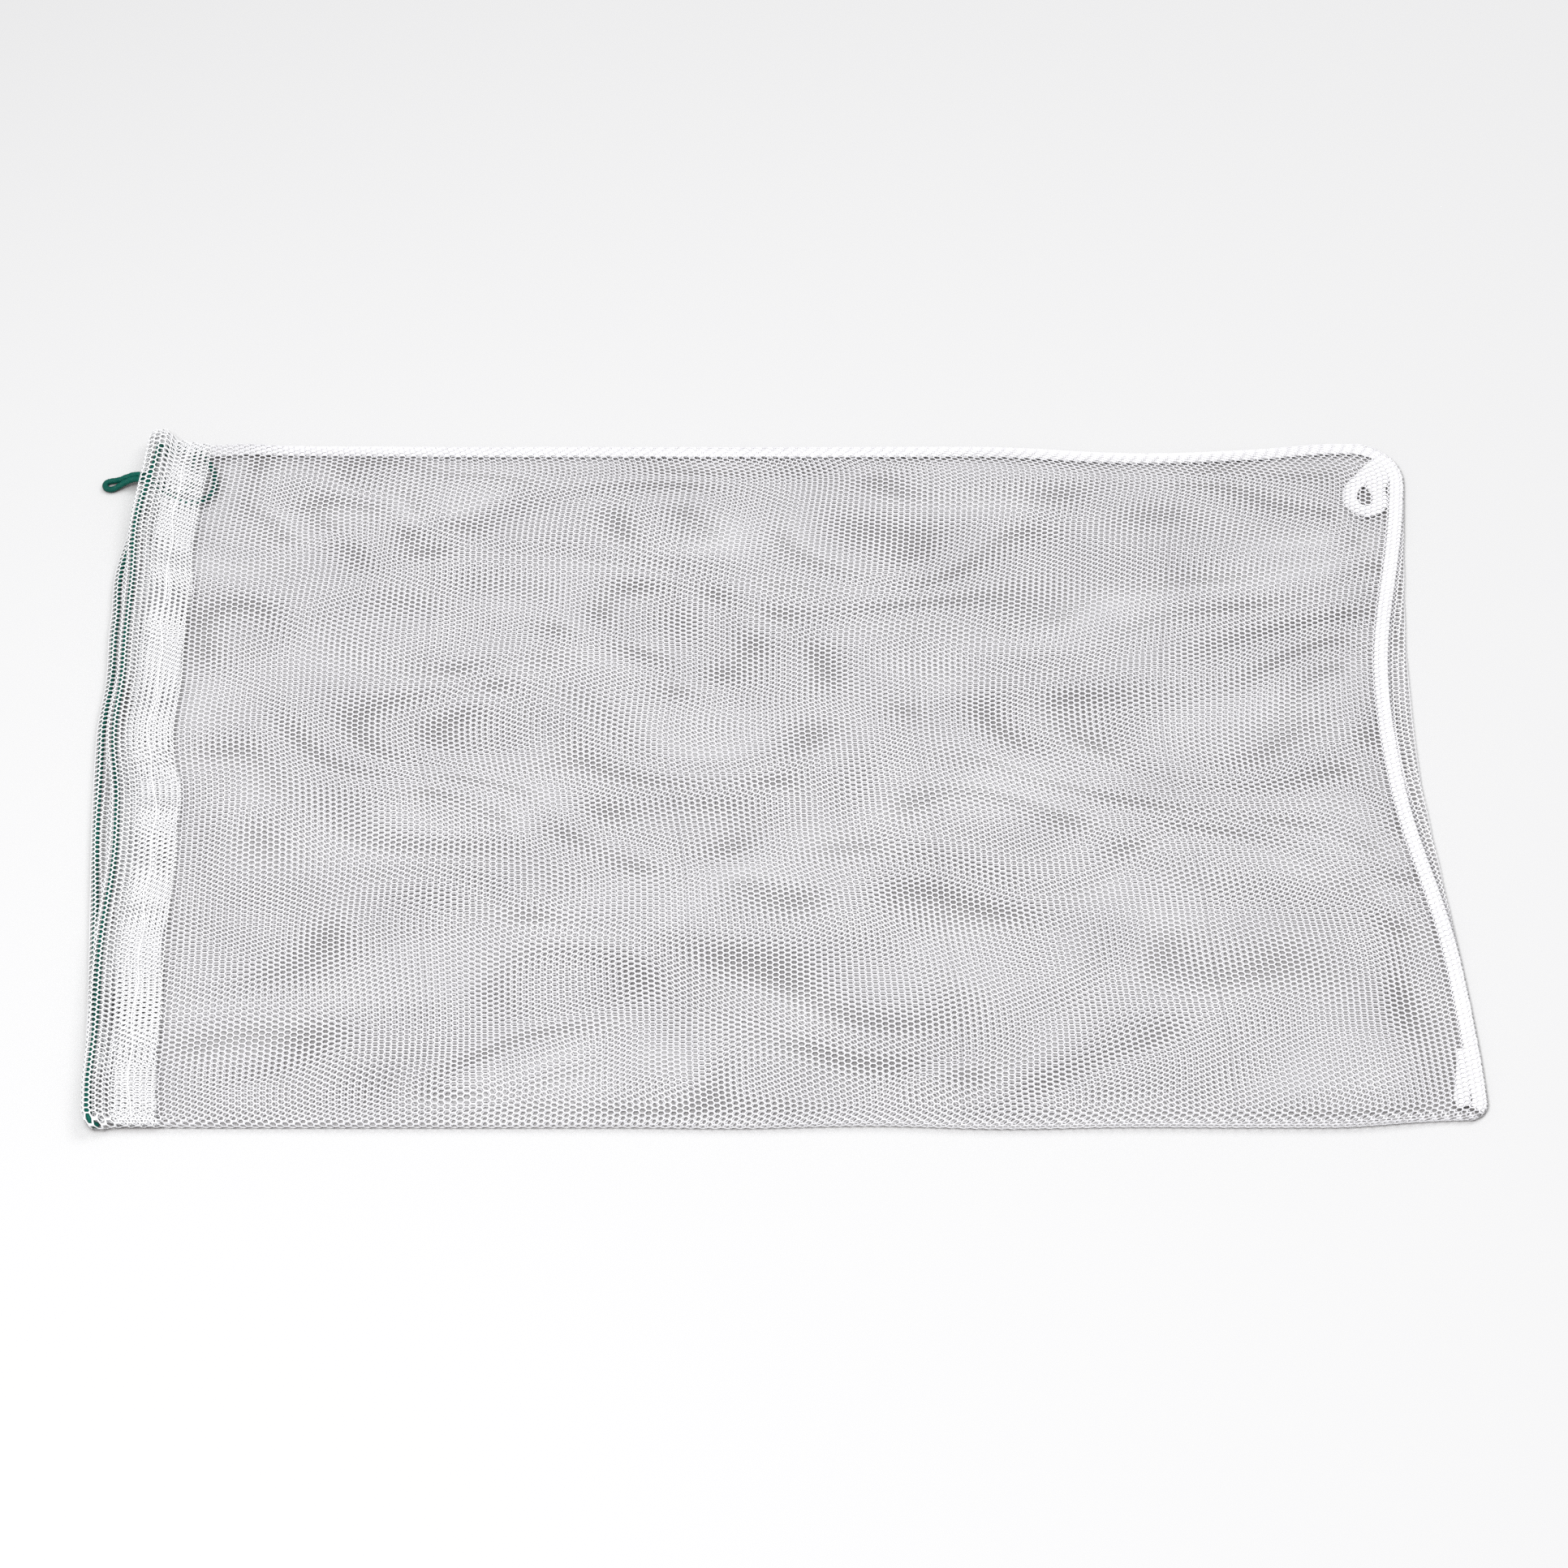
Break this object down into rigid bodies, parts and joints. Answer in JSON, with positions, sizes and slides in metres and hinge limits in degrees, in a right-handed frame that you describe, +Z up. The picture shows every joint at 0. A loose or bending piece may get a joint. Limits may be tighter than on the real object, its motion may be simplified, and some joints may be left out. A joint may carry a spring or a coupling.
{
  "type": "mesh laundry bag",
  "caption": "White net laundry bag laid flat: one folded side, overlocked side and end seams, and a hemmed mouth with a green drawstring and its pull loop.",
  "frame": {"origin": "centre of the laid bag's outline, on the surface it lies on", "axes": "+X along the bag from the mouth to the closed end, +Y from the folded long side to the sewn long side, +Z up through the front of the bag"},
  "size_m": [0.6315, 0.4012, 0.0124],
  "materials": {
    "net": "white knitted polyester net, satin threads",
    "hem_net": "the same net, doubled in the hem",
    "thread": "white overlock and lockstitch thread",
    "cord": "dark green braided polyester cord"
  },
  "bodies": {
    "bag": {"back_net": "net", "front_net": "net", "side_fold": "net", "side_turn": "net", "end_turn": "net", "mouth_near_fold": "hem_net", "mouth_far_turn": "hem_net", "front_casing": "hem_net", "back_casing": "hem_net", "front_hem_stitching": "thread", "back_hem_stitching": "thread", "side_seam_allowance": "net", "side_seam_overlock": "thread", "end_seam_allowance": "net", "end_seam_overlock": "thread", "corner_seam_tail": "thread", "near_corner_seam_tail": "thread", "drawstring": "cord", "drawstring_leads": "cord"},
    "pull": {"pull_loop": "cord"}
  },
  "joints": [
    {"name": "drawstring_pull", "type": "slide", "parent": "bag", "child": "pull", "axis": [-1, 0, 0], "range_m": [0, 0.3], "deforming": ["drawstring_leads"]}
  ]
}
